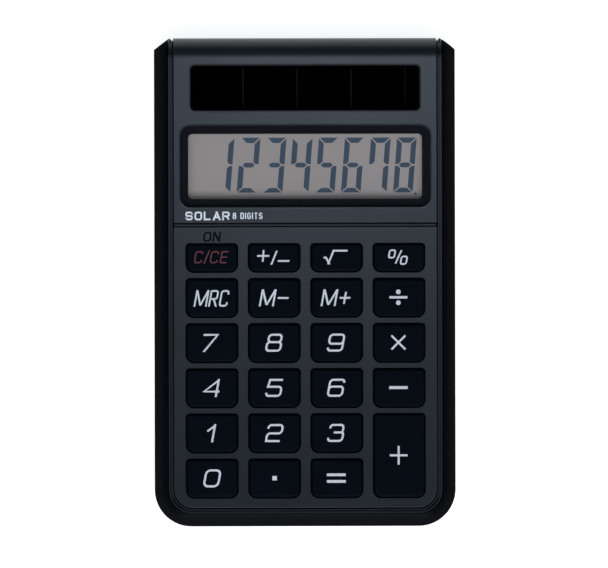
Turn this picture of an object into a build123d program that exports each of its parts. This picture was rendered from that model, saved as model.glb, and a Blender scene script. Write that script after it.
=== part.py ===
"""A solar pocket calculator lying on its back, in millimetres.

+X is to the right of the keys, +Y towards the display, +Z out of the front face.
The origin is at the middle of the footprint, on the surface that the feet stand on.
"""

import os

from build123d import *

# ---- the whole case ----------------------------------------------------------------------
case_width = 70.3
case_length = 114.0
back_z = 0.6  # the back's flat outside, held up by the feet
face_z = 10.0  # the front panels' outside
wall = 1.3
lower_corner = 8.6  # plan radius of the two corners at the 0 key's end
upper_corner = (3.6, 2.72)  # plan chamfer of the two corners at the display's end
rail_round = 6.3  # the rails' upper rounding, cut off by the front moulding
rail_crown = 10.744  # where that rounding would reach without the cut
rail_under = 3.6

# the display's end is one half-round from the front panel to the back
end_radius = (face_z - back_z) / 2
end_z = (face_z + back_z) / 2
end_y = case_length / 2 - end_radius
parting_gap = 0.1

# ---- the front moulding's border: (half width, lower edge, corner radius, top) -----------
rail_opening = (32.13, -53.97, 5.6)
rim_step = (31.88, -53.87, 5.5, 9.7)
groove_step = (31.56, -53.5, 5.2, 8.9)
shelf_step = (31.25, -53.2, 5.0, 9.6)
trench_step = (30.93, -52.88, 4.7, 8.3)
deck_step = (30.5, -52.45, 4.4, 9.0)
deck_z = deck_step[3]
deck_under_z = 7.8
hollow_edge = (30.4, -52.2, 3.9)
skirt_z = 3.0
panel_edge = (30.7, -52.54, 4.45)
panel_round = 0.12
opening_bevel = (0.35, 0.04)  # round the lens and the window: across the face, down the wall
split_bar = (13.17, 13.43)  # the bar between the two panels, low and high Y
panel_split = (12.9, 13.92)  # the panels' facing edges
notch_width = 1.24
notch_depth = 0.7
notch_x = 30.92

# ---- keys --------------------------------------------------------------------------------
column_pitch = 14.54
hole_width = 12.35
hole_height = 9.36
top_row_height = 6.93
top_row_y = 5.66
first_row_y = -3.66
row_pitch = 10.52
hole_corners = (1.0, 2.0)  # upper and lower
key_gap = 0.34
key_top_z = 10.9
key_round = 0.5
key_wall = 1.0
key_roof = 1.0
flange_margin = 0.7
flange_z = (7.0, 7.75)
flange_chamfer = 1.4
plunger_radius = 1.9

key_rows = (
    ("clear", "sign", "root", "percent"),
    ("memory_recall", "memory_minus", "memory_plus", "divide"),
    ("7", "8", "9", "multiply"),
    ("4", "5", "6", "minus"),
    ("1", "2", "3", "plus"),
    ("0", "point", "equals", None),
)

# ---- windows and what lies under them ----------------------------------------------------
lens_centre_y = 27.0
lens_size = (58.25, 18.9, 2.4)
lens_gap = 0.1
lens_z = (9.05, 9.9)
lens_chamfer = 0.1
display_opening = (55.3, 16.0, 1.2)
window_centre_y = 45.27
window_size = (53.6, 10.6, 1.1)
window_lens_z = (deck_z, 9.4)
window_lens_inset = 0.15
window_ledge = 0.7
window_ledge_corner = 0.6

glass = 0.6
polariser = 0.2
display_glass = (56.4, 16.4, 36.7)  # width, low Y, high Y
contact_ledge = 2.4
film_step = (0.6, 1.0)  # how far the films stop short of the glass: at its low edge, in width
display_top_z = 8.45
display_pocket_z = 8.5
rib_gap = 0.1
rib_wall = 0.8
rib_doorway = (2.0, 1.5)  # the missing low rib: short of the glass's width, reach each way in Y
cell_size = (56.0, 38.7, 51.6)
cell_thickness = 1.1
cell_top_z = 7.75
cell_chamfer = 0.15

# ---- board, key mat and fixings ----------------------------------------------------------
board_size = (56.6, -51.0, 22.0)
board_corners = (3.6, 1.0)  # low end rounded, high end cut
board_z = (4.2, 5.2)
board_slack = 0.05
zebra_size = (53.4, 1.8)
zebra_inset = 0.3
chip = (6.0, 13.5, 4.6, 1.5, 1.3)  # each round piece: x, y, radius, height, rounding
can = (-14.0, 14.0, 2.6, 1.9, 0.8)
diode_place = (-20.0, 16.0)
diode_size = (2.0, 1.25, 1.1)
diode_chamfer = 0.2
mat_size = (56.4, -50.9, 9.5)
mat_z = 5.9
dome_foot = 3.0
dome_head = 1.9
dome_top_z = 6.95
dome_skin = 0.5
dome_side_skin = 0.4
pill_radius = 1.2
pill_z = 6.2
weld = 0.1  # how far joined bodies run into each other

row_gap_y = first_row_y - row_pitch / 2
post_places = (
    (-column_pitch, row_gap_y),
    (column_pitch, row_gap_y),
    (-column_pitch, row_gap_y - 2 * row_pitch),
    (column_pitch, row_gap_y - 2 * row_pitch),
    (0, row_gap_y - 3 * row_pitch),
    (0, 11.4),
)
post_radius = 1.3
post_hole = 0.6
post_roof = 0.4
post_clearance = 0.2
board_screw = (0.55, 1.1, 0.75, 2.9)  # shank radius, head radius, head height, shank length
screw_places = [(side * 30.1, y) for side in (-1, 1) for y in (-46.0, 10.8, 47.0)]
boss_radius = 1.7
boss_hole = 0.8
case_screw = (0.75, 1.25, 1.1, 4.6)
screw_clearance = 0.15
head_recess = (1.4, 1.4)
pad_radius = 2.2
rest_places = ((-21.76, -19.5), (21.76, -19.5), (-21.76, -41), (21.76, -41), (0, -19.5), (0, 2))
rest_radius = 1.25
foot_places = [(x, y) for x in (-24, 24) for y in (-43, 43)]
foot_radius = 3.6
foot_round = 0.25
foot_clearance = 0.1
foot_recess = 0.4
label_size = (34, 22, 1.5)
label_depth = 0.2
label_y = 8.0
through = 3.0  # a cut this deep goes right through the front

upright = (Align.CENTER, Align.CENTER, Align.MIN)
hanging = (Align.CENTER, Align.CENTER, Align.MAX)


class KeyPlan(BaseSketchObject):
    """A rectangle with small upper corners and rounder lower ones."""

    def __init__(self, width, height, upper, lower, mode=Mode.ADD):
        with BuildSketch() as plan:
            Rectangle(width, height)
            fillet(plan.vertices().group_by(Axis.Y)[-1], upper)
            fillet(plan.vertices().group_by(Axis.Y)[0], lower)
        super().__init__(plan.sketch, rotation=0, align=None, mode=mode)


def key_places():
    """Each key as (name, x, y, height of its hole)."""
    places = []
    for row, names in enumerate(key_rows):
        for column, name in enumerate(names):
            if name is None:
                continue
            x = (column - 1.5) * column_pitch
            y = first_row_y - (row - 1) * row_pitch
            height = hole_height
            if row == 0:
                y = top_row_y
                height = top_row_height
            if name == "plus":
                y -= row_pitch / 2
                height += row_pitch
            places.append((name, x, y, height))
    return places


def case_volume(inset):
    """The whole case as one block with its outside drawn in by inset."""
    half_x = case_width / 2
    half_y = case_length / 2
    cut_x, cut_y = upper_corner
    with BuildSketch(Plane.XY.offset(back_z + inset)) as plan:
        with BuildLine():
            Polyline(
                (-half_x, -half_y),
                (half_x, -half_y),
                (half_x, half_y - cut_y),
                (half_x - cut_x, half_y),
                (-half_x + cut_x, half_y),
                (-half_x, half_y - cut_y),
                close=True,
            )
        make_face()
        fillet(plan.vertices().group_by(Axis.Y)[0], lower_corner)
        if inset:
            offset(amount=-inset, kind=Kind.INTERSECTION)
    with BuildSketch(Plane.YZ) as side:
        with Locations((end_y - case_length / 2, (back_z + rail_crown) / 2)):
            Rectangle(case_length, rail_crown - back_z)
        with Locations((end_y, end_z)):
            Circle(end_radius - inset)
    with BuildPart() as block:
        extrude(plan.sketch, amount=rail_crown - back_z - 2 * inset)
        for layer, radius in ((-1, rail_round), (0, rail_under)):
            rim = block.edges().group_by(Axis.Z)[layer]
            rim = rim.filter_by(lambda edge: edge.center().Y < half_y - cut_y - wall)
            fillet(rim, radius - inset)
        extrude(side.sketch, amount=case_width, both=True, mode=Mode.INTERSECT)
    return block.part


def front_volume(half_width, low_y, corner, top_z, low_z=skirt_z):
    """A block with the front's plan that ends in the same half-round as the case."""
    radius = top_z - end_z
    with BuildSketch(Plane.XY) as plan:
        with Locations((0, low_y)):
            Rectangle(2 * half_width, 2 * case_length, align=(Align.CENTER, Align.MIN))
        fillet(plan.vertices().group_by(Axis.Y)[0], corner)
    with BuildSketch(Plane.YZ) as side:
        with BuildLine():
            Polyline(
                (end_y, top_z),
                (-case_length, top_z),
                (-case_length, low_z),
                (end_y, low_z),
                (end_y, end_z),
                (end_y + radius, end_z),
            )
            CenterArc((end_y, end_z), radius, 0, 90)
        make_face()
    with BuildPart() as block:
        extrude(plan.sketch, amount=case_length)
        extrude(side.sketch, amount=case_width, both=True, mode=Mode.INTERSECT)
    return block.part


def panel(low_y, high_y):
    """One front panel as a plate from low_y to high_y, with its windows not cut yet."""
    above = front_volume(*panel_edge, face_z)
    below = front_volume(*panel_edge, deck_z)
    with BuildPart() as plate:
        add(above)
        add(below, mode=Mode.SUBTRACT)
        with Locations((0, (low_y + high_y) / 2, 0)):
            Box(case_width, high_y - low_y, 4 * face_z, mode=Mode.INTERSECT)
    return plate.part


def screw(shank_radius, head_radius, head_height, shank_length):
    """A pan-head screw that stands head down with its head's underside at the origin."""
    slot_length, slot_width, slot_depth = 1.2 * head_radius, 0.28 * head_radius, 0.6 * head_height
    with BuildPart() as made:
        Cylinder(head_radius, head_height, align=hanging)
        fillet(made.edges().group_by(Axis.Z)[0], 0.45 * head_height)
        Cylinder(shank_radius, shank_length, align=upright)
        chamfer(made.edges().group_by(Axis.Z)[-1], 0.5 * shank_radius)
        with Locations((0, 0, -head_height)):
            for angle in (0, 90):
                Box(
                    slot_length,
                    slot_width,
                    slot_depth,
                    rotation=(0, 0, angle),
                    align=upright,
                    mode=Mode.SUBTRACT,
                )
    return made.part


def round_piece(x, y, radius, height, rounding):
    """A round piece on the underside of the board, with its lower edge rounded."""
    with BuildPart() as made:
        with Locations((x, y, board_z[0])):
            Cylinder(radius, height, align=hanging)
        fillet(made.edges().group_by(Axis.Z)[0], rounding)
    return made


def save(part, name):
    part.label = name
    export_step(part, f"parts/{name}.step")


os.makedirs("parts", exist_ok=True)
keys = key_places()

# ---- rear case: the black tub whose rails frame the front --------------------------------
case_block = case_volume(0)
case_hollow = case_volume(wall)
with BuildPart() as rear_case:
    add(case_block)
    add(case_hollow, mode=Mode.SUBTRACT)
    with BuildSketch(Plane.XY.offset(end_z - parting_gap)) as mouth:
        half_width, low_y, corner = rail_opening
        with Locations((0, low_y)):
            Rectangle(2 * half_width, 2 * case_length, align=(Align.CENTER, Align.MIN))
        fillet(mouth.vertices().group_by(Axis.Y)[0], corner)
    extrude(amount=2 * face_z, mode=Mode.SUBTRACT)
    # pads that carry the case screws, and rests that hold the board up
    with BuildSketch(Plane.XY.offset(back_z + wall / 2)):
        with Locations(screw_places):
            Circle(pad_radius)
        Rectangle(2 * rim_step[0], case_length, mode=Mode.INTERSECT)
    extrude(amount=skirt_z - back_z - wall / 2)
    with BuildSketch(Plane.XY.offset(back_z + wall / 2)):
        with Locations(rest_places):
            Circle(rest_radius)
    extrude(amount=board_z[0] - board_slack - back_z - wall / 2)
    # a V-shaped groove comes round the end between each rail and the panel
    with BuildSketch(Plane.XY):
        for side in (-1, 1):
            with Locations((side * notch_x, case_length / 2)):
                Polygon((-notch_width / 2, 0), (notch_width / 2, 0), (0, -notch_depth), align=None)
    extrude(amount=2 * face_z, mode=Mode.SUBTRACT)
    with BuildSketch(Plane.XY.offset(back_z)):
        with Locations(screw_places):
            Circle(head_recess[0])
    extrude(amount=head_recess[1], mode=Mode.SUBTRACT)
    with BuildSketch(Plane.XY.offset(back_z)):
        with Locations(screw_places):
            Circle(case_screw[0] + screw_clearance)
    extrude(amount=2 * skirt_z, mode=Mode.SUBTRACT)
    with BuildSketch(Plane.XY.offset(back_z)):
        with Locations(foot_places):
            Circle(foot_radius + foot_clearance)
    extrude(amount=foot_recess, mode=Mode.SUBTRACT)
    with BuildSketch(Plane.XY.offset(back_z)):
        with Locations((0, label_y)):
            RectangleRounded(*label_size)
    extrude(amount=label_depth, mode=Mode.SUBTRACT)
save(rear_case.part, "rear_case")

# ---- front case: the grey moulding that carries the panels, the keys and the board -------
rim_block = front_volume(*rim_step)
inner_steps = [
    (front_volume(*step[:3], 2 * face_z), front_volume(*step))
    for step in (groove_step, shelf_step, trench_step, deck_step)
]
hollow_block = front_volume(*hollow_edge, deck_under_z, low_z=-skirt_z)
with BuildPart() as front_case:
    add(rim_block)
    for above, block in inner_steps:
        add(above, mode=Mode.SUBTRACT)
        add(block)
    bar_low, bar_high = split_bar
    with Locations((0, (bar_low + bar_high) / 2, deck_z)):
        Box(
            2 * deck_step[0],
            bar_high - bar_low,
            shelf_step[3] - deck_z,
            align=upright,
        )
    add(hollow_block, mode=Mode.SUBTRACT)
    with BuildSketch(Plane.XY.offset(skirt_z)):
        with Locations(screw_places):
            Circle(boss_radius)
        Rectangle(2 * rim_step[0], case_length, mode=Mode.INTERSECT)
    extrude(amount=deck_under_z - skirt_z)
    with BuildSketch(Plane.XY.offset(board_z[1])):
        with Locations(post_places):
            Circle(post_radius)
    extrude(amount=deck_under_z - board_z[1])
    # ribs round three sides of the display glass, and the pocket in the deck that it lies in
    glass_width, glass_low, glass_high = display_glass
    glass_under_z = display_top_z - polariser - 2 * glass
    with BuildSketch(Plane.XY.offset(glass_under_z)):
        with Locations((0, (glass_low + glass_high) / 2)):
            reach = 2 * (rib_gap + rib_wall)
            Rectangle(glass_width + reach, glass_high - glass_low + reach)
        with Locations((0, glass_low - rib_gap - rib_wall)):
            doorway = (glass_width - rib_doorway[0], 2 * rib_doorway[1])
            Rectangle(*doorway, mode=Mode.SUBTRACT)
    extrude(amount=deck_under_z - glass_under_z)
    with BuildSketch(Plane.XY.offset(glass_under_z)):
        with Locations((0, (glass_low + glass_high) / 2)):
            Rectangle(glass_width + 2 * rib_gap, glass_high - glass_low + 2 * rib_gap)
    extrude(amount=display_pocket_z - glass_under_z, mode=Mode.SUBTRACT)
    with BuildSketch(Plane.XY.offset(deck_under_z - weld)):
        for name, x, y, height in keys:
            with Locations((x, y)):
                KeyPlan(hole_width, height, *hole_corners)
        with Locations((0, lens_centre_y)):
            RectangleRounded(*display_opening)
        with Locations((0, window_centre_y)):
            opening = [size - 2 * window_ledge for size in window_size[:2]]
            RectangleRounded(*opening, window_ledge_corner)
    extrude(amount=through, mode=Mode.SUBTRACT)
    with BuildSketch(Plane.XY.offset(skirt_z)):
        with Locations(screw_places):
            Circle(boss_hole)
    extrude(amount=deck_under_z - skirt_z, mode=Mode.SUBTRACT)
    with BuildSketch(Plane.XY.offset(board_z[1])):
        with Locations(post_places):
            Circle(post_hole)
    extrude(amount=deck_under_z - board_z[1] - post_roof, mode=Mode.SUBTRACT)
save(front_case.part, "front_case")

# ---- the two front panels ----------------------------------------------------------------
display_plate = panel(panel_split[1], case_length)
with BuildPart() as display_panel:
    add(display_plate)
    # the last edge up there is where the flat runs into the half-round
    fillet(display_panel.edges().group_by(Axis.Z)[-1].sort_by(Axis.Y)[:-1], panel_round)
    with BuildSketch(Plane.XY.offset(deck_z)):
        with Locations((0, lens_centre_y)):
            seat = [size + 2 * lens_gap for size in lens_size[:2]]
            RectangleRounded(*seat, lens_size[2])
        with Locations((0, window_centre_y)):
            RectangleRounded(*window_size)
    extrude(amount=face_z, mode=Mode.SUBTRACT)
    for opening in (0, 1):
        flat = display_panel.faces().sort_by(Axis.Z)[-1]
        opening_rim = flat.inner_wires().sort_by(Axis.Y)[opening]
        chamfer(opening_rim.edges(), *opening_bevel, reference=flat)
save(display_panel.part, "display_panel")

keypad_plate = panel(-case_length, panel_split[0])
with BuildPart() as keypad_panel:
    add(keypad_plate)
    fillet(keypad_panel.edges().group_by(Axis.Z)[-1], panel_round)
    with BuildSketch(Plane.XY.offset(deck_z)):
        for name, x, y, height in keys:
            with Locations((x, y)):
                KeyPlan(hole_width, height, *hole_corners)
    extrude(amount=through, mode=Mode.SUBTRACT)
save(keypad_panel.part, "keypad_panel")

# ---- display lens and solar window -------------------------------------------------------
with BuildPart() as display_lens:
    with BuildSketch(Plane.XY.offset(lens_z[0])):
        with Locations((0, lens_centre_y)):
            RectangleRounded(*lens_size)
    extrude(amount=lens_z[1] - lens_z[0])
    chamfer(display_lens.edges().group_by(Axis.Z)[-1], lens_chamfer)
save(display_lens.part, "display_lens")

with BuildPart() as solar_window:
    with BuildSketch(Plane.XY.offset(window_lens_z[0])):
        with Locations((0, window_centre_y)):
            pane = [size - 2 * window_lens_inset for size in window_size]
            RectangleRounded(*pane)
    extrude(amount=window_lens_z[1] - window_lens_z[0])
save(solar_window.part, "solar_window")

# ---- solar cell: glass with its films, under the window ----------------------------------
cell_width, cell_low, cell_high = cell_size
with BuildPart() as solar_cell:
    with BuildSketch(Plane.XY.offset(cell_top_z - cell_thickness)):
        with Locations((0, (cell_low + cell_high) / 2)):
            Rectangle(cell_width, cell_high - cell_low)
    extrude(amount=cell_thickness)
    chamfer(solar_cell.edges().group_by(Axis.Z)[-1], cell_chamfer)
save(solar_cell.part, "solar_cell")

# ---- display: polariser, two glasses and a reflector, from the top down ------------------
display_layers = (
    ("lcd_front_polariser", polariser, contact_ledge + film_step[0], film_step[1]),
    ("lcd_front_glass", glass, 0, 0),
    ("lcd_rear_glass", glass, contact_ledge, 0),
    ("lcd_reflector", polariser, contact_ledge + film_step[0], film_step[1]),
)
layer_top = display_top_z
for name, thickness, low_step, side_step in display_layers:
    layer_low = display_glass[1] + low_step
    layer_high = display_glass[2] - side_step / 2
    with BuildPart() as layer:
        with BuildSketch(Plane.XY.offset(layer_top - thickness)):
            with Locations((0, (layer_low + layer_high) / 2)):
                Rectangle(display_glass[0] - side_step, layer_high - layer_low)
        extrude(amount=thickness)
    save(layer.part, name)
    layer_top -= thickness

# ---- zebra strip: striped rubber that joins the board to the glass's contact ledge -------
ledge_under_z = display_top_z - polariser - glass
with BuildPart() as zebra_strip:
    with Locations((0, display_glass[1] + zebra_inset, board_z[1])):
        Box(
            *zebra_size,
            ledge_under_z - board_z[1],
            align=(Align.CENTER, Align.MIN, Align.MIN),
        )
save(zebra_strip.part, "zebra_strip")

# ---- circuit board and what is soldered to it --------------------------------------------
board_width, board_low, board_high = board_size
with BuildPart() as circuit_board:
    with BuildSketch(Plane.XY.offset(board_z[0])) as outline:
        with Locations((0, (board_low + board_high) / 2)):
            Rectangle(board_width, board_high - board_low)
        fillet(outline.vertices().group_by(Axis.Y)[0], board_corners[0])
        chamfer(outline.vertices().group_by(Axis.Y)[-1], board_corners[1])
        with Locations(post_places):
            Circle(board_screw[0] + screw_clearance, mode=Mode.SUBTRACT)
    extrude(amount=board_z[1] - board_z[0])
save(circuit_board.part, "circuit_board")

chip_cap = round_piece(*chip)
save(chip_cap.part, "chip_cap")

capacitor = round_piece(*can)
save(capacitor.part, "capacitor")

with BuildPart() as regulator_diode:
    with Locations((*diode_place, board_z[0])):
        Box(*diode_size, align=hanging)
    chamfer(regulator_diode.edges().group_by(Axis.Z)[0], diode_chamfer)
save(regulator_diode.part, "regulator_diode")

# ---- wires from the solar cell to the underside of the board -----------------------------
wire_radius = 0.35
wire_x = 25.0
wire_y = (41.0, 18.5)
wire_slack = 0.02
wire_z = (cell_top_z - cell_thickness - wire_slack, board_z[0] - wire_radius - wire_slack)
wire_bend = 0.45  # the bend's radius against the shorter run
for side, name in ((-1, "solar_wire_red"), (1, "solar_wire_black")):
    with BuildPart() as wire:
        with BuildLine() as route:
            FilletPolyline(
                (side * wire_x, wire_y[0], wire_z[0]),
                (side * wire_x, wire_y[0], wire_z[1]),
                (side * wire_x, wire_y[1], wire_z[1]),
                radius=wire_bend * (wire_z[0] - wire_z[1]),
            )
        with BuildSketch(Plane(origin=route.line @ 0, z_dir=route.line % 0)):
            Circle(wire_radius)
        sweep()
    save(wire.part, name)

# ---- key mat: one silicone sheet with a dome and a contact pill under each key -----------
with BuildPart() as key_mat:
    with BuildSketch(Plane.XY.offset(board_z[1])) as sheet:
        mat_width, mat_low, mat_high = mat_size
        with Locations((0, (mat_low + mat_high) / 2)):
            Rectangle(mat_width, mat_high - mat_low)
        fillet(sheet.vertices().group_by(Axis.Y)[0], board_corners[0])
        with Locations(post_places):
            Circle(post_radius + post_clearance, mode=Mode.SUBTRACT)
    extrude(amount=mat_z - board_z[1])
    for name, x, y, height in keys:
        with Locations((x, y, mat_z)):
            Cone(dome_foot, dome_head, dome_top_z - mat_z, align=upright)
        with Locations((x, y, board_z[1])):
            Cone(
                dome_foot,
                dome_head - dome_side_skin,
                dome_top_z - dome_skin - board_z[1],
                align=upright,
                mode=Mode.SUBTRACT,
            )
        with Locations((x, y, pill_z)):
            Cylinder(pill_radius, dome_top_z - dome_skin - pill_z + weld, align=upright)
save(key_mat.part, "key_mat")

# ---- keys: hollow caps with a flange under the deck and a plunger on the dome ------------
for name, x, y, height in keys:
    key_width = hole_width - 2 * key_gap
    key_height = height - 2 * key_gap
    upper, lower = (radius - key_gap for radius in hole_corners)
    with BuildPart() as key:
        with BuildSketch(Plane.XY.offset(flange_z[0])) as flange:
            with Locations((x, y)):
                Rectangle(key_width + 2 * flange_margin, key_height + 2 * flange_margin)
            chamfer(flange.vertices(), flange_chamfer)
        extrude(amount=flange_z[1] - flange_z[0])
        with BuildSketch(Plane.XY.offset(flange_z[0])):
            with Locations((x, y)):
                KeyPlan(key_width, key_height, upper, lower)
        extrude(amount=key_top_z - flange_z[0])
        fillet(key.edges().group_by(Axis.Z)[-1], key_round)
        with BuildSketch(Plane.XY.offset(flange_z[0])):
            with Locations((x, y)):
                Rectangle(key_width - 2 * key_wall, key_height - 2 * key_wall)
                Circle(plunger_radius, mode=Mode.SUBTRACT)
        extrude(amount=key_top_z - key_roof - flange_z[0], mode=Mode.SUBTRACT)
    save(key.part, f"key_{name}")

# ---- fixings and feet --------------------------------------------------------------------
case_screw_solid = screw(*case_screw)
with BuildPart() as case_screws:
    with Locations([(x, y, back_z + head_recess[1]) for x, y in screw_places]):
        add(case_screw_solid)
save(case_screws.part, "case_screws")

board_screw_solid = screw(*board_screw)
with BuildPart() as board_screws:
    with Locations([(x, y, board_z[0]) for x, y in post_places]):
        add(board_screw_solid)
save(board_screws.part, "board_screws")

with BuildPart() as rubber_feet:
    with Locations([(x, y, 0) for x, y in foot_places]):
        Cylinder(foot_radius, back_z + foot_recess, align=upright)
    fillet(rubber_feet.edges().group_by(Axis.Z)[0], foot_round)
save(rubber_feet.part, "rubber_feet")
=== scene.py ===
"""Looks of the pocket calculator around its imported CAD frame: materials, printed legends, the
segment display, the solar cell, the lights and the camera. Lengths are in metres (MM is one
millimetre), in the CAD's own frame: +Z out of the front face, +Y towards the display."""

import math

import bmesh
import bpy
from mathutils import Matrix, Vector


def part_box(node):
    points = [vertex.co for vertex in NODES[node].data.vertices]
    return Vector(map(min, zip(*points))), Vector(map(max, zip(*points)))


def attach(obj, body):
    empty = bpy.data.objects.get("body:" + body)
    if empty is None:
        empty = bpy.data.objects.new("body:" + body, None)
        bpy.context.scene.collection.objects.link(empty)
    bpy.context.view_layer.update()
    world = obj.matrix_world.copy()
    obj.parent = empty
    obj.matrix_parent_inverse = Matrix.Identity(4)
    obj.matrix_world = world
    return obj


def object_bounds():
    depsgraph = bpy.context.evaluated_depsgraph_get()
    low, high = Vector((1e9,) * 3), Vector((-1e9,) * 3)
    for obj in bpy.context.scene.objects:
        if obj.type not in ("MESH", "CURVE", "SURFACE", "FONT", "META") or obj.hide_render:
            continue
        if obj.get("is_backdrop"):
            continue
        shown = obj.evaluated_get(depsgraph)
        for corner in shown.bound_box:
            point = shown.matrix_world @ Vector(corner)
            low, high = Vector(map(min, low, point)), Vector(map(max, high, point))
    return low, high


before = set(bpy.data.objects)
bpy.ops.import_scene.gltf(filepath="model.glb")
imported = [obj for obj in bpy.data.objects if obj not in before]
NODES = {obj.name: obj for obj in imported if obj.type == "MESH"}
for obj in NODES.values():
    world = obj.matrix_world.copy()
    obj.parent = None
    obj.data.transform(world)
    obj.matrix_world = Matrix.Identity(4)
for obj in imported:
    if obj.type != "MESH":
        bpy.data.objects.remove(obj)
cad_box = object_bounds()

MM = 0.001
CASE = "case"
KEYS = [name for name in NODES if name.startswith("key_") and name != "key_mat"]


def middle(node):
    """Centre of a CAD node's box."""
    low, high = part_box(node)
    return (low + high) / 2


# ---------------------------------------------------------------- material building blocks

GRAIN_DETAIL = 2.0
DRIFT_SIZE = 9 * MM  # how far apart a moulding's slow changes of shade are
ROUGH_SPREAD = 0.07  # the share by which the grain changes a surface's roughness
ACRYLIC_IOR = 1.49
HEAD_ON_MIRROR = 0.045  # the Fresnel share that the anti-glare face of a clear sheet takes away
# painted shade: the trench's walls round the panels and, near black, the narrow gaps' bottoms
GAP_SHADE = (0.019, 0.022, 0.028)
GAP_DEEP_SHADE = (0.0006, 0.0007, 0.0009)


def new_material(name):
    material = bpy.data.materials.new(name)
    material.use_nodes = True
    tree = material.node_tree
    tree.nodes.clear()
    return material, tree, tree.nodes.new("ShaderNodeOutputMaterial")


def lit_surface(material):
    """The node tree of a finished material, its output and the shader that feeds it."""
    tree = material.node_tree
    output = next(node for node in tree.nodes if node.type == "OUTPUT_MATERIAL")
    return tree, output, output.inputs["Surface"].links[0].from_socket


def calculate(tree, operation, a, b):
    """A Math node's result. Each operand is a number or another node's output."""
    node = tree.nodes.new("ShaderNodeMath")
    node.operation = operation
    for slot, operand in zip(node.inputs, (a, b)):
        if isinstance(operand, (int, float)):
            slot.default_value = operand
        else:
            tree.links.new(operand, slot)
    return node.outputs["Value"]


def object_axes(tree):
    """The outputs X, Y and Z of a point in the object's own metres."""
    place = tree.nodes.new("ShaderNodeTexCoord")
    split = tree.nodes.new("ShaderNodeSeparateXYZ")
    tree.links.new(place.outputs["Object"], split.inputs["Vector"])
    return split.outputs


def blend_shaders(tree, share, first, second):
    """first where share is 0, second where it is 1."""
    mix = tree.nodes.new("ShaderNodeMixShader")
    tree.links.new(share, mix.inputs["Fac"])
    tree.links.new(first, mix.inputs[1])
    tree.links.new(second, mix.inputs[2])
    return mix.outputs["Shader"]


def add_shaders(tree, first, second):
    both = tree.nodes.new("ShaderNodeAddShader")
    tree.links.new(first, both.inputs[0])
    tree.links.new(second, both.inputs[1])
    return both.outputs["Shader"]


def grain(tree, size):
    """Noise that follows the object's own metres: one grain is about `size` across."""
    place = tree.nodes.new("ShaderNodeTexCoord")
    noise = tree.nodes.new("ShaderNodeTexNoise")
    noise.inputs["Scale"].default_value = 1.0 / size
    noise.inputs["Detail"].default_value = GRAIN_DETAIL
    tree.links.new(place.outputs["Object"], noise.inputs["Vector"])
    return noise.outputs["Fac"]


def spread(tree, value, low, high):
    """Stretches a noise value, which stays near a half, over low to high."""
    ramp = tree.nodes.new("ShaderNodeMapRange")
    ramp.inputs["From Min"].default_value = 0.3
    ramp.inputs["From Max"].default_value = 0.7
    ramp.inputs["To Min"].default_value = low
    ramp.inputs["To Max"].default_value = high
    tree.links.new(value, ramp.inputs["Value"])
    return ramp.outputs["Result"]


def mottle(tree, value, dark, light):
    """A colour that drifts between two shades with a noise value."""
    mix = tree.nodes.new("ShaderNodeMix")
    mix.data_type = "RGBA"
    mix.inputs["A"].default_value = (*dark, 1.0)
    mix.inputs["B"].default_value = (*light, 1.0)
    tree.links.new(value, mix.inputs["Factor"])
    return mix.outputs["Result"]


def bump(tree, height, depth):
    node = tree.nodes.new("ShaderNodeBump")
    node.inputs["Distance"].default_value = depth
    node.inputs["Strength"].default_value = 1.0
    tree.links.new(height, node.inputs["Height"])
    return node.outputs["Normal"]


def moulded(name, colour, rough, gloss, grain_size, grain_depth, shade=0.12, metal=0.0):
    """Moulded or coated surface: a fine grain, a slow drift of shade and of roughness.
    gloss is Principled's specular level: 0.5 is ordinary plastic."""
    material, tree, output = new_material(name)
    surface = tree.nodes.new("ShaderNodeBsdfPrincipled")
    surface.inputs["Specular IOR Level"].default_value = gloss
    surface.inputs["Metallic"].default_value = metal
    drift = spread(tree, grain(tree, DRIFT_SIZE), 0.0, 1.0)
    dark = [c * (1 - shade) for c in colour]
    light = [min(1.0, c * (1 + shade)) for c in colour]
    tree.links.new(mottle(tree, drift, dark, light), surface.inputs["Base Color"])
    fine = grain(tree, grain_size)
    uneven = spread(tree, fine, rough * (1 - ROUGH_SPREAD), rough * (1 + ROUGH_SPREAD))
    tree.links.new(uneven, surface.inputs["Roughness"])
    tree.links.new(bump(tree, fine, grain_depth), surface.inputs["Normal"])
    tree.links.new(surface.outputs["BSDF"], output.inputs["Surface"])
    return material


def clear_sheet(name, tint, rough=0.02):
    """Clear or smoked sheet with an anti-glare face: it mirrors nothing head on and more and
    more towards a grazing view. Only the face that the light meets first mirrors."""
    material, tree, output = new_material(name)
    open_face = tree.nodes.new("ShaderNodeBsdfTransparent")
    open_face.inputs["Color"].default_value = (*tint, 1.0)
    mirror = tree.nodes.new("ShaderNodeBsdfGlossy")
    mirror.inputs["Roughness"].default_value = rough
    mirror.inputs["Color"].default_value = (1.0, 1.0, 1.0, 1.0)
    fresnel = tree.nodes.new("ShaderNodeFresnel")
    fresnel.inputs["IOR"].default_value = ACRYLIC_IOR
    ramp = tree.nodes.new("ShaderNodeMapRange")
    ramp.inputs["From Min"].default_value = HEAD_ON_MIRROR
    tree.links.new(fresnel.outputs["Fac"], ramp.inputs["Value"])
    side = tree.nodes.new("ShaderNodeNewGeometry")
    outside = calculate(tree, "SUBTRACT", 1.0, side.outputs["Backfacing"])
    share = calculate(tree, "MULTIPLY", ramp.outputs["Result"], outside)
    sheet = blend_shaders(tree, share, open_face.outputs["BSDF"], mirror.outputs["BSDF"])
    tree.links.new(sheet, output.inputs["Surface"])
    return material


def add_sheen(material, weight, rough):
    """Adds an even, weak reflection that doesn't grow towards a grazing view."""
    tree, output, lit = lit_surface(material)
    sheen = tree.nodes.new("ShaderNodeBsdfGlossy")
    sheen.inputs["Color"].default_value = (weight, weight, weight, 1.0)
    sheen.inputs["Roughness"].default_value = rough
    tree.links.new(add_shaders(tree, lit, sheen.outputs["BSDF"]), output.inputs["Surface"])


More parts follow.
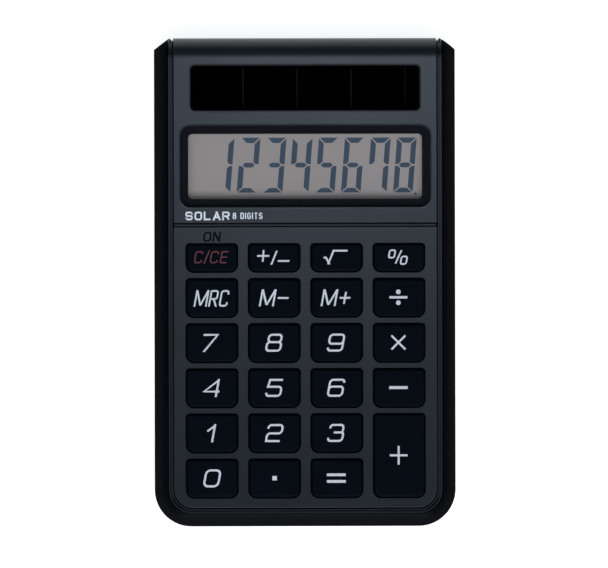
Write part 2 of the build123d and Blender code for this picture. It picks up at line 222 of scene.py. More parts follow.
def shade_gaps(material, reach_x, low_y, top_z, deck_z):
    """Paints shade: darkens what lies below top_z inside the plan |x| < reach_x, y > low_y, and
    paints
    it near black below deck_z: painted shadow on the moulding under the panels, of which only the
    narrow gaps' bottoms show."""
    tree, output, lit = lit_surface(material)
    axes = object_axes(tree)
    beside = calculate(
        tree,
        "MAXIMUM",
        calculate(tree, "GREATER_THAN", axes["X"], reach_x),
        calculate(tree, "LESS_THAN", axes["X"], -reach_x),
    )
    clear = calculate(
        tree,
        "MAXIMUM",
        calculate(tree, "LESS_THAN", axes["Y"], low_y),
        calculate(tree, "GREATER_THAN", axes["Z"], top_z),
    )
    on_deck = calculate(tree, "GREATER_THAN", axes["Z"], deck_z)
    shaded = tree.nodes.new("ShaderNodeBsdfDiffuse")
    tree.links.new(mottle(tree, on_deck, GAP_DEEP_SHADE, GAP_SHADE), shaded.inputs["Color"])
    untouched = calculate(tree, "MAXIMUM", beside, clear)
    result = blend_shaders(tree, untouched, shaded.outputs["BSDF"], lit)
    tree.links.new(result, output.inputs["Surface"])


def paint_bar_light(material, reach_x, low_y, high_y, painted_light):
    """Adds painted light: a lighter diffuse colour inside the plan |x| < reach_x, low_y < y <
    high_y, so that the thin bar between the two panels shows nearly as light as they do."""
    tree, output, lit = lit_surface(material)
    axes = object_axes(tree)
    inside = calculate(tree, "LESS_THAN", axes["X"], reach_x)
    tests = (
        ("X", "GREATER_THAN", -reach_x),
        ("Y", "GREATER_THAN", low_y),
        ("Y", "LESS_THAN", high_y),
    )
    for axis, operation, threshold in tests:
        test = calculate(tree, operation, axes[axis], threshold)
        inside = calculate(tree, "MULTIPLY", inside, test)
    added = tree.nodes.new("ShaderNodeBsdfDiffuse")
    tree.links.new(mottle(tree, inside, (0.0, 0.0, 0.0), painted_light), added.inputs["Color"])
    tree.links.new(add_shaders(tree, lit, added.outputs["BSDF"]), output.inputs["Surface"])


def striped(name, dark, light, pitch, rough):
    """Rubber with thin alternating layers along X."""
    material, tree, output = new_material(name)
    surface = tree.nodes.new("ShaderNodeBsdfPrincipled")
    surface.inputs["Roughness"].default_value = rough
    place = tree.nodes.new("ShaderNodeTexCoord")
    wave = tree.nodes.new("ShaderNodeTexWave")
    wave.bands_direction = "X"
    wave.inputs["Scale"].default_value = math.pi / (10 * pitch)
    tree.links.new(place.outputs["Object"], wave.inputs["Vector"])
    shades = mottle(tree, wave.outputs["Fac"], dark, light)
    tree.links.new(shades, surface.inputs["Base Color"])
    tree.links.new(surface.outputs["BSDF"], output.inputs["Surface"])
    return material


def ink(name, colour, rough=0.45, gloss=0.3):
    """Printed ink: even, with a slightly uneven density."""
    return moulded(name, colour, rough, gloss, 0.12 * MM, 0.0005 * MM, shade=0.04)


# ---------------------------------------------------------------- materials of the CAD nodes

# where shade is painted into the trench round both panels: its half width and lower edge, a height
# inside it, and one just under the deck that the panels lie on, below which the painted shade is
# near black
panel_low, panel_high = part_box("keypad_panel")
GAP_SHADE_PLACE = (
    panel_high.x + 0.3 * MM,
    panel_low.y - 0.36 * MM,
    panel_high.z - 0.7 * MM,
    panel_low.z - 0.05 * MM,
)

PANEL_GREY = moulded("panel_grey", (0.0086, 0.0118, 0.0160), 0.31, 0.35, 0.16 * MM, 0.0012 * MM)
FRONT_GREY = moulded("front_grey", (0.0085, 0.0112, 0.0160), 0.36, 0.22, 0.16 * MM, 0.0012 * MM)
# painted shade in the trench and gaps round the panels
shade_gaps(FRONT_GREY, *GAP_SHADE_PLACE)
# painted light: the bar between the panels gets a lighter diffuse colour than the rest of the
# moulding
BAR_Y = (panel_high.y + 0.2 * MM, panel_high.y + 0.6 * MM)
BAR_PAINTED_LIGHT = (0.0220, 0.0250, 0.0320)
paint_bar_light(FRONT_GREY, panel_high.x, *BAR_Y, BAR_PAINTED_LIGHT)
CASE_BLACK = moulded("case_black", (0.0010, 0.0014, 0.0026), 0.6, 0.0, 0.2 * MM, 0.002 * MM)
add_sheen(CASE_BLACK, 0.0044, 0.42)
KEY_BLACK = moulded("key_black", (0.0018, 0.0036, 0.0066), 0.50, 0.02, 0.1 * MM, 0.0006 * MM)
FOOT_RUBBER = moulded("foot_rubber", (0.013, 0.013, 0.014), 0.8, 0.3, 0.12 * MM, 0.006 * MM)
MAT_SILICONE = moulded("mat_silicone", (0.52, 0.54, 0.54), 0.6, 0.4, 0.3 * MM, 0.002 * MM)
BOARD_GREEN = moulded(
    "board_green", (0.02, 0.11, 0.045), 0.35, 0.5, 0.5 * MM, 0.002 * MM, shade=0.3
)
CHIP_EPOXY = moulded("chip_epoxy", (0.010, 0.010, 0.011), 0.2, 0.5, 0.8 * MM, 0.01 * MM)
CAPACITOR = moulded("capacitor_dip", (0.45, 0.19, 0.05), 0.4, 0.5, 0.3 * MM, 0.004 * MM)
DIODE_RED = moulded("diode_red", (0.42, 0.02, 0.02), 0.25, 0.5, 0.3 * MM, 0.001 * MM)
WIRE_RED = moulded("wire_red", (0.5, 0.02, 0.02), 0.4, 0.5, 0.3 * MM, 0.001 * MM)
WIRE_BLACK = moulded("wire_black", (0.012, 0.012, 0.012), 0.4, 0.5, 0.3 * MM, 0.001 * MM)
SCREW_STEEL = moulded(
    "screw_steel", (0.42, 0.42, 0.44), 0.3, 0.5, 0.1 * MM, 0.001 * MM, metal=1.0
)
SOLAR_FILM = moulded("solar_film", (0.0008, 0.0007, 0.0018), 0.15, 0.02, 0.3 * MM, 0.0002 * MM)
REFLECTOR = moulded(
    "reflector_grey", (0.376, 0.328, 0.3145), 0.6, 0.2, 0.08 * MM, 0.0008 * MM, shade=0.02
)
ZEBRA = striped("zebra_rubber", (0.01, 0.01, 0.01), (0.45, 0.45, 0.43), 0.2 * MM, 0.6)
LENS_CLEAR = clear_sheet("lens_clear", (0.994, 0.995, 0.996))
WINDOW_SMOKE = clear_sheet("window_smoke", (0.40, 0.39, 0.41))
DISPLAY_GLASS = clear_sheet("display_glass", (0.997, 0.998, 0.997))

NODE_MATERIALS = {
    "rear_case": CASE_BLACK,
    "front_case": FRONT_GREY,
    "display_panel": PANEL_GREY,
    "keypad_panel": PANEL_GREY,
    "display_lens": LENS_CLEAR,
    "solar_window": WINDOW_SMOKE,
    "solar_cell": SOLAR_FILM,
    "lcd_front_polariser": DISPLAY_GLASS,
    "lcd_front_glass": DISPLAY_GLASS,
    "lcd_rear_glass": DISPLAY_GLASS,
    "lcd_reflector": REFLECTOR,
    "zebra_strip": ZEBRA,
    "circuit_board": BOARD_GREEN,
    "key_mat": MAT_SILICONE,
    "chip_cap": CHIP_EPOXY,
    "capacitor": CAPACITOR,
    "regulator_diode": DIODE_RED,
    "solar_wire_red": WIRE_RED,
    "solar_wire_black": WIRE_BLACK,
    "case_screws": SCREW_STEEL,
    "board_screws": SCREW_STEEL,
    "rubber_feet": FOOT_RUBBER,
    **{key: KEY_BLACK for key in KEYS},
}
for node, material in NODE_MATERIALS.items():
    NODES[node].data.materials.clear()
    NODES[node].data.materials.append(material)

# ---------------------------------------------------------------- flat printed shapes


def unit(a, b):
    """Unit vector in the plane from a to b."""
    return (Vector(b) - Vector(a)).normalized()


def rounded(corners, closed):
    """The points of a line whose corners (x, y, radius) are rounded by arcs."""
    count = len(corners)
    points = []
    for i, (x, y, radius) in enumerate(corners):
        if radius == 0 or (not closed and i in (0, count - 1)):
            points.append((x, y))
            continue
        came = unit(corners[i - 1][:2], (x, y))
        goes = unit((x, y), corners[(i + 1) % count][:2])
        turn = math.atan2(came.cross(goes), came.dot(goes))
        start = Vector((x, y)) - came * (radius * math.tan(abs(turn) / 2))
        centre = start + Vector((-came.y, came.x)) * math.copysign(radius, turn)
        steps = max(2, round(abs(turn) / math.radians(11)))
        for k in range(steps + 1):
            angle = turn * k / steps
            arm = start - centre
            points.append(
                (
                    centre.x + arm.x * math.cos(angle) - arm.y * math.sin(angle),
                    centre.y + arm.x * math.sin(angle) + arm.y * math.cos(angle),
                )
            )
    return points


MITRE_LIMIT = 0.6  # smallest cosine used to widen a strip's sharp corner
LEVEL_CUT = 0.8  # a stroke steeper than this sine ends level with the line of print


def strip_sides(points, width, closed):
    """The left and right edge points of a strip of even width along a line."""
    count = len(points)
    sides = []
    for i, point in enumerate(points):
        came = unit(points[i - 1], point) if closed or i else None
        goes = unit(point, points[(i + 1) % count]) if closed or i < count - 1 else None
        if came is None or goes is None:
            way = came or goes
            across = Vector((-way.y, way.x))
            if abs(way.y) > LEVEL_CUT:
                across = Vector((-math.copysign(1 / abs(way.y), way.y), 0))
        else:
            way = (came + goes).normalized()
            across = Vector((-way.y, way.x)) / max(MITRE_LIMIT, way.dot(goes))
        half = across * (width / 2)
        sides.append((Vector(point) + half, Vector(point) - half))
    return sides


def add_tube(bm, sections, closed):
    """Joins four-cornered cross-sections into one closed skin."""
    rings = [[bm.verts.new(corner) for corner in section] for section in sections]
    pairs = list(zip(rings, rings[1:] + rings[:1])) if closed else list(zip(rings, rings[1:]))
    for a, b in pairs:
        for i in range(4):
            bm.faces.new((a[i], a[(i + 1) % 4], b[(i + 1) % 4], b[i]))
    if not closed:
        bm.faces.new(reversed(rings[0]))
        bm.faces.new(rings[-1])


def add_strip(bm, corners, width, low, high, place, closed=False):
    """A flat printed strip along a line of (x, y, radius) corners. place maps a point of the
    drawing to the CAD frame's x and y."""
    sections = []
    for left, right in strip_sides(rounded(corners, closed), width, closed):
        (lx, ly), (rx, ry) = place(left.x, left.y), place(right.x, right.y)
        sections.append([(lx, ly, high), (lx, ly, low), (rx, ry, low), (rx, ry, high)])
    add_tube(bm, sections, closed)


def add_plate(bm, outline, low, high):
    """A flat plate with the given outline, between two heights."""
    floor = [bm.verts.new((x, y, low)) for x, y in outline]
    roof = [bm.verts.new((x, y, high)) for x, y in outline]
    bm.faces.new(list(reversed(floor)))
    bm.faces.new(roof)
    for i in range(len(outline)):
        j = (i + 1) % len(outline)
        bm.faces.new((floor[i], floor[j], roof[j], roof[i]))


def make_piece(name, body, bm, material):
    bmesh.ops.recalc_face_normals(bm, faces=bm.faces)
    mesh = bpy.data.meshes.new(name)
    bm.to_mesh(mesh)
    bm.free()
    mesh.materials.append(material)
    piece = bpy.data.objects.new(name, mesh)
    bpy.context.scene.collection.objects.link(piece)
    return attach(piece, body)


# ---------------------------------------------------------------- the stroke alphabet
# Each glyph is a list of strokes in a cell that is 1 wide and 1 high. A stroke is a list of
# (u, v) or (u, v, r): r 1 rounds that corner fully. A stroke that ends where it began closes.


def loop(u0, v0, u1, v1):
    return [(u0, v0, 1), (u1, v0, 1), (u1, v1, 1), (u0, v1, 1), (u0, v0, 1)]


GLYPHS = {
    "0": [loop(0, 0, 1, 1)],
    "1": [[(0.75, 0), (0.75, 1)], [(0.0, 0.62), (0.75, 0.96)]],
    "2": [[(0, 0.77), (0, 1, 1), (1, 1, 1), (1, 0.48, 1), (0, 0.48, 1), (0, 0), (0.97, 0)]],
    "3": [
        [(0.02, 0.79), (0.02, 1, 0.8), (0.94, 1, 1), (0.94, 0.53, 0.7), (0.32, 0.53)],
        [(0.6, 0.53), (1, 0.53, 0.7), (1, 0, 1), (0, 0, 0.8), (0, 0.19)],
    ],
    "4": [[(0.84, 0), (0.84, 1)], [(0.84, 0.98), (0, 0.28), (1.02, 0.28)]],
    "5": [[(1, 1), (0.1, 1), (0.04, 0.57), (1, 0.57, 1), (1, 0, 1), (0, 0, 0.8), (0, 0.19)]],
    "6": [[(1, 0.81), (1, 1, 0.8), (0, 1, 1), (0, 0.3)], loop(0, 0, 1, 0.57)],
    "7": [[(0, 1), (1, 1), (0.27, 0)]],
    "8": [loop(0, 0, 1, 0.54), loop(0.05, 0.54, 0.95, 1)],
    "9": [[(1, 0.7), (1, 0, 1), (0, 0, 0.8), (0, 0.19)], loop(0, 0.43, 1, 1)],
    "A": [[(0, 0), (0.5, 1)], [(0.5, 1), (1, 0)], [(0.2, 0.3), (0.8, 0.3)]],
    "C": [[(1, 0.76), (1, 1, 1), (0, 1, 1), (0, 0, 1), (1, 0, 1), (1, 0.24)]],
    "D": [[(0, 0, 0.3), (1, 0, 1), (1, 1, 1), (0, 1, 0.3), (0, 0, 0.3)]],
    "E": [[(1, 1), (0, 1, 0.4), (0, 0, 0.4), (1, 0)], [(0, 0.5), (0.92, 0.5)]],
    "G": [[(1, 0.8), (1, 1, 1), (0, 1, 1), (0, 0, 1), (1, 0, 1), (1, 0.48), (0.55, 0.48)]],
    "I": [[(0, 0), (0, 1)]],
    "L": [[(0, 1), (0, 0), (1, 0)]],
    "M": [[(0, 0), (0, 1)], [(0.04, 1), (0.5, 0.02)], [(0.5, 0.02), (0.96, 1)], [(1, 1), (1, 0)]],
    "N": [[(0, 0), (0, 1)], [(0.04, 1), (0.96, 0)], [(1, 0), (1, 1)]],
    "O": [loop(0, 0, 1, 1)],
    "R": [[(0, 0), (0, 1, 0.2), (1, 1, 1), (1, 0.46, 1), (0, 0.46)], [(0.52, 0.46), (1, 0)]],
    "S": [
        [(1, 0.8), (1, 1, 1), (0, 1, 1), (0, 0.5, 1), (1, 0.5, 1), (1, 0, 1), (0, 0, 1), (0, 0.2)],
    ],
    "T": [[(0, 1), (1, 1)], [(0.5, 1), (0.5, 0)]],
    "/": [[(0, 0), (1, 1)]],
    "+": [[(0, 0.5), (1, 0.5)], [(0.5, 0), (0.5, 1)]],
    "-": [[(0, 0.5), (1, 0.5)]],
    "x": [[(0, 0), (1, 1)], [(0, 1), (1, 0)]],
    "root": [[(0, 0.42), (0.1, 0.5)], [(0.08, 0.52), (0.24, 0.0)], [(0.22, 0), (0.4, 1), (1, 1)]],
}
STROKE_STEP = 0.002 * MM  # each further stroke of a glyph lies this much higher
PRINT_SUNK = 0.01 * MM  # how far a print reaches into the surface that it is on
PRINT_THICK = 0.008 * MM
DISC_SIDES = 24


def add_glyph(bm, character, cell, pen, slant, bend, surface):
    """Draws one character. cell is (x, y, width, height) of its centre lines, from its lower
    left corner in the CAD frame; bend is the radius of a fully rounded corner."""
    x0, y0, width, height = cell

    def place(u, v):
        return x0 + u + v * slant, y0 + v

    for level, stroke in enumerate(GLYPHS[character]):
        corners = [
            (p[0] * width, p[1] * height, (p[2] if len(p) > 2 else 0) * bend) for p in stroke
        ]
        closed = corners[0] == corners[-1]
        if closed:
            corners = corners[:-1]
        elif character.isalnum():
            for end, inner in ((0, 1), (-1, -2)):
                x, y, radius = corners[end]
                way = unit(corners[inner][:2], (x, y))
                if y in (0, height) and abs(way.y) > LEVEL_CUT:
                    reach = way * (pen / 2 / abs(way.y))
                    corners[end] = (x + reach.x, y + reach.y, radius)
        low = surface - PRINT_SUNK + level * STROKE_STEP / 2
        high = surface + PRINT_THICK + level * STROKE_STEP
        add_strip(bm, corners, pen, low, high, place, closed)


def print_word(name, body, centre, surface, word, pen, slant, bend, material):
    """Prints the characters of word, a list of (character, x, y, width, height): the cell's lower
    left corner from the word's centre, and its size, along the centre lines of the strokes."""
    bm = bmesh.new()
    for character, x, y, width, height in word:
        if character == "dot":
            add_disc(bm, centre.x + x, centre.y + y, width / 2, surface)
        else:
            cell = (centre.x + x - slant * height / 2, centre.y + y, width, height)
            add_glyph(bm, character, cell, pen, slant, bend, surface)
    return make_piece(name, body, bm, material)


def disc_outline(x, y, radius, sides):
    turns = [2 * math.pi * k / sides for k in range(sides)]
    return [(x + radius * math.cos(turn), y + radius * math.sin(turn)) for turn in turns]


def add_disc(bm, x, y, radius, surface):
    ring = disc_outline(x, y, radius, DISC_SIDES)
    add_plate(bm, ring, surface - PRINT_SUNK, surface + PRINT_THICK)


# ---------------------------------------------------------------- key legends

LEGEND_WHITE = ink("legend_white", (0.62, 0.66, 0.72))
PRINT_WHITE = ink("print_white", (0.75, 0.80, 0.88))
LEGEND_RED = ink("legend_red", (0.125, 0.024, 0.030))
PRINT_BLACK = ink("print_black", (0.0008, 0.0009, 0.0012), gloss=0.05)

DIGIT_WIDE, DIGIT_TALL = 3.30 * MM, 3.72 * MM
DIGIT_PEN = 0.48 * MM
DIGIT_BEND = 0.72 * MM
SLANT = 0.185  # tangent of the italic angle
SIGN_SLANT = 0.08  # of the change-of-sign and square-root legends
# the legends are printed a little off the keys' middles, more so on the two right columns
LEGEND_DRIFT = Vector((-0.03 * MM, 0.09 * MM, 0))
RIGHT_DRIFT = Vector((-0.15 * MM, 0, 0))


def centred(character, width=DIGIT_WIDE, height=DIGIT_TALL, x=0.0, y=0.0):
    """One character's cell, centred on (x, y)."""
    return (character, x - width / 2, y - height / 2, width, height)


def legend(key, word, pen=DIGIT_PEN, slant=SLANT, bend=DIGIT_BEND, material=None):
    name = "legend_" + key.removeprefix("key_")
    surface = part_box(key)[1].z
    centre = middle(key)
    centre += LEGEND_DRIFT + (RIGHT_DRIFT if centre.x > 0 else Vector((0, 0, 0)))
    return print_word(name, key, centre, surface, word, pen, slant, bend, material or LEGEND_WHITE)


for digit in "235689":
    legend("key_" + digit, [centred(digit)])
legend("key_0", [centred("0")], bend=1.0 * MM)
legend("key_4", [centred("4", width=3.5 * MM, x=0.05 * MM)])
legend("key_7", [centred("7", x=-0.62 * MM)])
legend("key_1", [centred("1", width=2.05 * MM, x=-0.15 * MM)])

CAPITAL_TALL = 3.45 * MM
CAPITAL_PEN = 0.40 * MM
legend(
    "key_memory_recall",
    [
        centred("M", 2.65 * MM, CAPITAL_TALL, -2.4 * MM, -0.16 * MM),
        centred("R", 1.55 * MM, CAPITAL_TALL, 0.43 * MM, -0.16 * MM),
        centred("C", 1.6 * MM, CAPITAL_TALL, 2.88 * MM, -0.16 * MM),
    ],
    pen=CAPITAL_PEN,
    bend=0.5 * MM,
)
for key, sign in (("key_memory_minus", "-"), ("key_memory_plus", "+")):
    legend(
        key,
        [
            centred("M", 3.05 * MM, 3.5 * MM, -1.5 * MM, -0.06 * MM),
            centred(sign, 2.5 * MM, 2.8 * MM, 2.1 * MM, -0.1 * MM),
        ],
        pen=0.44 * MM,
    )
SMALL_TALL = 2.55 * MM
legend(
    "key_clear",
    [
        centred("C", 1.55 * MM, SMALL_TALL, -3.05 * MM, 0.12 * MM),
        centred("/", 0.75 * MM, 3.1 * MM, -1.18 * MM, 0.12 * MM),
        centred("C", 1.55 * MM, SMALL_TALL, 0.62 * MM, 0.12 * MM),
        centred("E", 1.5 * MM, SMALL_TALL, 2.95 * MM, 0.12 * MM),
    ],
    pen=0.30 * MM,
    bend=0.5 * MM,
    material=LEGEND_RED,
)
legend(
    "key_sign",
    [
        centred("+", 2.85 * MM, 2.75 * MM, -2.55 * MM, 0.4 * MM),
        centred("/", 1.05 * MM, 3.25 * MM, -0.02 * MM, -0.05 * MM),
        centred("-", 2.7 * MM, 0.4 * MM, 2.2 * MM, -0.80 * MM),
    ],
    pen=0.41 * MM,
    slant=SIGN_SLANT,
)
legend(
    "key_root",
    [centred("root", 5.45 * MM, 2.95 * MM, -0.1 * MM, 0.1 * MM)],
    pen=0.44 * MM,
    slant=SIGN_SLANT,
)
legend(
    "key_percent",
    [
        centred("0", 1.3 * MM, 1.75 * MM, -1.45 * MM, 0.8 * MM),
        centred("/", 0.85 * MM, 3.1 * MM, 0.05 * MM, 0.1 * MM),
        centred("0", 1.3 * MM, 1.75 * MM, 1.3 * MM, -0.68 * MM),
    ],
    pen=0.38 * MM,
    bend=0.42 * MM,
)
DIVIDE_DOT = 1.1 * MM
legend(
    "key_divide",
    [
        ("dot", 0.0, 1.27 * MM, DIVIDE_DOT, DIVIDE_DOT),
        centred("-", 4.2 * MM, 0.4 * MM),
        ("dot", 0.0, -1.27 * MM, DIVIDE_DOT, DIVIDE_DOT),
    ],
    pen=0.55 * MM,
    slant=0.0,
)
legend("key_multiply", [centred("x", 3.25 * MM, 3.25 * MM)], pen=0.45 * MM, slant=0.0)
legend("key_minus", [centred("-", 4.3 * MM, 0.4 * MM)], pen=0.66 * MM, slant=0.0)
legend("key_plus", [centred("+", 4.15 * MM, 4.35 * MM)], pen=0.48 * MM, slant=0.0)
legend(
    "key_equals",
    [
        centred("-", 4.4 * MM, 0.4 * MM, y=0.76 * MM),
        centred("-", 4.4 * MM, 0.4 * MM, y=-0.78 * MM),
    ],
    pen=0.64 * MM,
    slant=0.0,
)
legend("key_point", [centred("-", 1.05 * MM, 0.4 * MM)], pen=1.0 * MM, slant=0.0)

# ---------------------------------------------------------------- prints on the panels

panel_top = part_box("keypad_panel")[1].z
ON_RISE = 1.15 * MM  # the ON legend's middle above the clear key
on_place = Vector((middle("key_clear").x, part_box("key_clear")[1].y + ON_RISE, 0))
print_word(
    "print_on",
    CASE,
    on_place,
    panel_top,
    [centred("O", 1.45 * MM, 1.95 * MM, -1.02 * MM), centred("N", 1.35 * MM, 1.95 * MM, 1.15 * MM)],
    0.40 * MM,
    0.15,
    0.55 * MM,
    PRINT_BLACK,
)

# the white print between the display and the keys: a bold word and a smaller one beside it
PRINT_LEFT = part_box("display_lens")[0].x + 1.15 * MM
PRINT_Y = (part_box("display_lens")[0].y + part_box("display_panel")[0].y) / 2 - 0.25 * MM
PRINT_SPACE = 0.7 * MM
# each word: name, text, left edge, then in millimetres the cells' width and height, the pen,
# the gap and the bend
SECOND_LEFT = PRINT_LEFT + 11.05 * MM
PRINT_WORDS = (
    ("print_solar", "SOLAR", PRINT_LEFT, 1.38, 1.62, 0.40, 0.37, 0.4),
    ("print_digits", "8 DIGITS", SECOND_LEFT, 0.60, 1.25, 0.25, 0.25, 0.25),
)
for name, word, left, *sizes in PRINT_WORDS:
    wide, tall, pen, gap, bend = (size * MM for size in sizes)
    cells = []
    x = 0.0
    for character in word:
        if character == " ":
            x += PRINT_SPACE
            continue
        width = 0.0 if character == "I" else wide
        cells.append((character, x, -tall / 2, width, tall))
        x += width + pen + gap
    start = Vector((left + pen / 2, PRINT_Y, 0))
    print_word(name, CASE, start, panel_top, cells, pen, 0.0, bend, PRINT_WHITE)

# ---------------------------------------------------------------- the display

LENS_LOW, LENS_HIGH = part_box("display_lens")
LENS_CENTRE = middle("display_lens")
WINDOW_WIDE, WINDOW_TALL, WINDOW_CORNER = 54.5 * MM, 15.15 * MM, 1.0 * MM
LENS_CORNER = 2.35 * MM
BORDER_GAP = 0.01 * MM
BORDER_BLACK = ink("border_black", (0.0068, 0.0074, 0.0100), gloss=0.03)


def rounded_box(centre, width, height, corner):
    """Outline of a rounded rectangle, counter-clockwise, with the same count of points for any
    size, so that two of them can be joined into a ring."""
    x, y = width / 2, height / 2
    corners = [(x, -y, corner), (x, y, corner), (-x, y, corner), (-x, -y, corner)]
    return [(centre.x + px, centre.y + py) for px, py in rounded(corners, closed=True)]


def print_ring(name, body, centre, outer, inner, low, high, material):
    """A flat ring between two rounded rectangles, each given as (width, height, corner)."""
    bm = bmesh.new()
    sections = []
    pairs = zip(rounded_box(centre, *outer), rounded_box(centre, *inner))
    for (ox, oy), (ix, iy) in pairs:
        sections.append([(ox, oy, high), (ox, oy, low), (ix, iy, low), (ix, iy, high)])
    add_tube(bm, sections, closed=True)
    return make_piece(name, body, bm, material)


BORDER_INSET = 0.05 * MM  # of the printed border from the lens's edge
BORDER_DEEP = 0.04 * MM
lens_size = LENS_HIGH - LENS_LOW
lens_border = print_ring(
    "lens_border",
    CASE,
    LENS_CENTRE,
    (lens_size.x - 2 * BORDER_INSET, lens_size.y - 2 * BORDER_INSET, LENS_CORNER),
    (WINDOW_WIDE, WINDOW_TALL, WINDOW_CORNER),
    LENS_LOW.z - BORDER_DEEP,
    LENS_LOW.z - BORDER_GAP,
    BORDER_BLACK,
)
lens_border.visible_shadow = False  # so that it doesn't darken the display's low edge

SEGMENT_INK = moulded(
    "lcd_segment", (0.056, 0.086, 0.125), 0.5, 0.1, 0.2 * MM, 0.0002 * MM, shade=0.05
)
DIGIT_COUNT = 8
LCD_TALL = 12.8 * MM
LCD_WIDE = 4.6 * MM
LCD_PITCH = 6.08 * MM
LCD_SLANT = math.tan(math.radians(4.5))
SIDE_THICK, TOP_THICK, BOTTOM_THICK, MID_THICK = 1.25 * MM, 1.24 * MM, 1.06 * MM, 1.1 * MM
SEGMENT_GAP = 0.21 * MM  # along each side of a mitred joint between two segments
CENTRE_TIP = 0.45  # how far the middle bar's points reach into the side bars' thickness
LAST_DIGIT_X = LENS_CENTRE.x + 23.35 * MM  # middle of the rightmost digit, at half height
DIGITS_Y = LENS_CENTRE.y + 0.33 * MM
SEGMENTS_OF = {
    "1": "bc",
    "2": "abged",
    "3": "abgcd",
    "4": "fgbc",
    "5": "afgcd",
    "6": "afgedc",
    "7": "fabc",
    "8": "abcdefg",
}


def segment_shapes():
    """Outlines of the seven segments around the digit's centre, upright."""
    right, top = LCD_WIDE / 2, LCD_TALL / 2
    inner = right - SIDE_THICK
    gap = SEGMENT_GAP
    half = MID_THICK / 2

    def bar(edge, thick, way):
        """Top or bottom bar, whose ends follow the joints' slant."""
        inside = edge - way * thick
        outer = right - gap
        reach = inner - gap
        return [(-outer, edge), (outer, edge), (reach, inside), (-reach, inside)]

    def upright(side, edge, thick, way):
        """One side bar of the upper (way 1) or lower (way -1) half."""
        return [
            (side * right, edge - way * gap),
            (side * right, way * gap),
            (side * (right - SIDE_THICK * (1 - CENTRE_TIP)), way * gap),
            (side * inner, way * (half + gap)),
            (side * inner, edge - way * (thick + gap)),
        ]

    centre_bar = [
        (-inner - CENTRE_TIP * SIDE_THICK + gap, 0),
        (-inner + gap, -half),
        (inner - gap, -half),
        (inner + CENTRE_TIP * SIDE_THICK - gap, 0),
        (inner - gap, half),
        (-inner + gap, half),
    ]
    return {
        "a": bar(top, TOP_THICK, 1),
        "d": bar(-top, BOTTOM_THICK, -1),
        "b": upright(1, top, TOP_THICK, 1),
        "f": upright(-1, top, TOP_THICK, 1),
        "c": upright(1, -top, BOTTOM_THICK, -1),
        "e": upright(-1, -top, BOTTOM_THICK, -1),
        "g": centre_bar,
    }


def turned_left(outline):
    """The outline, counter-clockwise."""
    area = sum(a[0] * b[1] - b[0] * a[1] for a, b in zip(outline, outline[1:] + outline[:1]))
    return outline if area > 0 else list(reversed(outline))


SEGMENT_RISE = 0.004 * MM  # above the reflector
SEGMENT_THICK = 0.01 * MM
segment_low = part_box("lcd_reflector")[1].z + SEGMENT_RISE
segment_high = segment_low + SEGMENT_THICK
shapes = segment_shapes()
for index in range(DIGIT_COUNT):
    number = str(index + 1)
    x0 = LAST_DIGIT_X - (DIGIT_COUNT - 1 - index) * LCD_PITCH
    bm = bmesh.new()
    for letter in SEGMENTS_OF[number]:
        outline = [(x0 + x + y * LCD_SLANT, DIGITS_Y + y) for x, y in shapes[letter]]
        add_plate(bm, turned_left(outline), segment_low, segment_high)
    make_piece("lcd_digit_" + number, CASE, bm, SEGMENT_INK)

POINT_SIZE = 0.6 * MM
POINT_SIDES = 16
bm = bmesh.new()
point_x, point_y = LAST_DIGIT_X + 2.45 * MM, DIGITS_Y - LCD_TALL / 2 - 0.3 * MM
ring = disc_outline(point_x, point_y, POINT_SIZE / 2, POINT_SIDES)
add_plate(bm, ring, segment_low, segment_high)
make_piece("lcd_point", CASE, bm, SEGMENT_INK)

# ---------------------------------------------------------------- the solar cell

CELL_GAPS_X = [(-14.4 + 12.6 * k) * MM for k in range(4)]
GAPS_WIDE = (0.26 * MM, 0.26 * MM, 0.26 * MM, 0.16 * MM)
cell_low, cell_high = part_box("solar_cell")
CELL_GAP = ink("cell_gap", (0.42, 0.43, 0.46), gloss=0.2)
GAP_INSET = 0.5 * MM  # how far the lines stop short of the cell's long edges
for index, (x, wide) in enumerate(zip(CELL_GAPS_X, GAPS_WIDE)):
    bm = bmesh.new()
    left, right = x - wide / 2, x + wide / 2
    low, high = cell_low.y + GAP_INSET, cell_high.y - GAP_INSET
    outline = [(left, low), (right, low), (right, high), (left, high)]
    add_plate(bm, outline, cell_high.z - PRINT_SUNK, cell_high.z + PRINT_THICK)
    make_piece(f"cell_gap_{index + 1}", CASE, bm, CELL_GAP)

# ---------------------------------------------------------------- floor, world, lights, camera


FLOOR_GLOW = 0.80  # a lit table top, so that the thin case throws almost no shadow
FLOOR_REACH = 4.0
FLOOR_DROP = 0.02 * MM  # keeps it just clear of the rubber feet


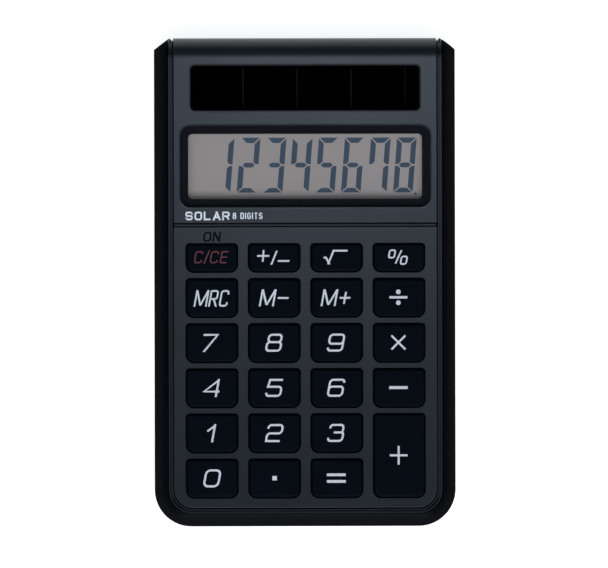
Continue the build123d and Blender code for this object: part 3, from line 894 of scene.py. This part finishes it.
def make_floor():
    bm = bmesh.new()
    bmesh.ops.create_grid(bm, x_segments=1, y_segments=1, size=FLOOR_REACH)
    mesh = bpy.data.meshes.new("floor")
    bm.to_mesh(mesh)
    bm.free()
    material, tree, output = new_material("floor_white")
    surface = tree.nodes.new("ShaderNodeBsdfPrincipled")
    surface.inputs["Base Color"].default_value = (0.7, 0.7, 0.7, 1)
    surface.inputs["Roughness"].default_value = 1.0
    surface.inputs["Specular IOR Level"].default_value = 0.0
    surface.inputs["Emission Color"].default_value = (1.0, 1.0, 1.0, 1)
    surface.inputs["Emission Strength"].default_value = FLOOR_GLOW
    tree.links.new(surface.outputs["BSDF"], output.inputs["Surface"])
    mesh.materials.append(material)
    floor = bpy.data.objects.new("floor", mesh)
    bpy.context.scene.collection.objects.link(floor)
    floor.location.z = -FLOOR_DROP
    floor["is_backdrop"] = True


def make_world():
    """Dark overhead and lighter towards the horizon, as in a studio with a dark ceiling."""
    world = bpy.data.worlds.new("studio")
    bpy.context.scene.world = world
    world.use_nodes = True
    tree = world.node_tree
    tree.nodes.clear()
    output = tree.nodes.new("ShaderNodeOutputWorld")
    background = tree.nodes.new("ShaderNodeBackground")
    place = tree.nodes.new("ShaderNodeTexCoord")
    split = tree.nodes.new("ShaderNodeSeparateXYZ")
    ramp = tree.nodes.new("ShaderNodeMapRange")
    ramp.inputs["From Min"].default_value = 0.0
    ramp.inputs["From Max"].default_value = 0.6
    ramp.inputs["To Min"].default_value = 0.3
    ramp.inputs["To Max"].default_value = 0.04
    tree.links.new(place.outputs["Generated"], split.inputs["Vector"])
    tree.links.new(split.outputs["Z"], ramp.inputs["Value"])
    tree.links.new(ramp.outputs["Result"], background.inputs["Strength"])
    tree.links.new(background.outputs["Background"], output.inputs["Surface"])


ORIGIN = (0, 0, 0)


def add_softbox(name, place, size, radiance, colour, aim=ORIGIN):
    """A rectangular lamp whose surface has the given radiance, facing aim."""
    data = bpy.data.lights.new(name, "AREA")
    data.shape = "RECTANGLE"
    data.size, data.size_y = size
    data.energy = radiance * size[0] * size[1] * math.pi
    data.color = colour
    lamp = bpy.data.objects.new(name, data)
    bpy.context.scene.collection.objects.link(lamp)
    lamp.location = place
    lamp.rotation_euler = (Vector(aim) - Vector(place)).to_track_quat("-Z", "Y").to_euler()
    lamp.visible_camera = False


KEY_BLUE = (0.90, 0.95, 1.0)
SHEEN_BLUE = (0.70, 0.84, 1.0)
# the small lamp above the display's end gives the panels their falling brightness
SHEEN_X, SHEEN_Y, SHEEN_HIGH = 0.020, 0.086, 0.5
make_floor()
make_world()
add_softbox("left_softbox", (-0.8, -0.2, 0.9), (0.6, 0.7), 1.1, KEY_BLUE)
add_softbox("right_softbox", (0.8, -0.2, 0.9), (0.6, 0.7), 1.1, KEY_BLUE)
add_softbox("front_softbox", (0.0, -0.8, 1.0), (1.2, 0.7), 4.6, KEY_BLUE)
add_softbox("low_front_softbox", (0.0, -1.2, 0.33), (1.0, 0.4), 3.2, KEY_BLUE)
add_softbox("low_back_softbox", (0.0, 1.2, 0.2), (1.2, 0.3), 1.1, KEY_BLUE)
add_softbox(
    "top_sheen",
    (SHEEN_X, SHEEN_Y, SHEEN_HIGH),
    (0.07, 0.07),
    19.0,
    SHEEN_BLUE,
    aim=(SHEEN_X, SHEEN_Y, 0.0),
)

CAMERA_DISTANCE = 2.4
VIEW_WIDE = 0.1417  # what the picture's long side covers at the front face
AIM = Vector((-0.33 * MM, -0.30 * MM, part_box("keypad_panel")[1].z))
CAMERA_LEAN = math.radians(1.4)  # the camera stands this far left of straight above
CAMERA_ROLL = math.radians(-0.12)
camera_data = bpy.data.cameras.new("camera")
camera_data.sensor_width = 36.0
camera_data.lens = camera_data.sensor_width * CAMERA_DISTANCE / VIEW_WIDE
camera_data.clip_start = 0.01
camera_data.clip_end = 20.0
camera = bpy.data.objects.new("camera", camera_data)
lean_way = Vector((-math.sin(CAMERA_LEAN), 0, math.cos(CAMERA_LEAN)))
camera.location = AIM + CAMERA_DISTANCE * lean_way
camera.rotation_euler = (0.0, -CAMERA_LEAN, CAMERA_ROLL)
bpy.context.scene.collection.objects.link(camera)
bpy.context.scene.camera = camera

bpy.context.scene.view_settings.view_transform = "Standard"
bpy.context.scene.view_settings.look = "None"
bpy.context.scene.cycles.transparent_max_bounces = 24

sizes = {"cad": [list(c) for c in cad_box], "visual": [list(c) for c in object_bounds()]}
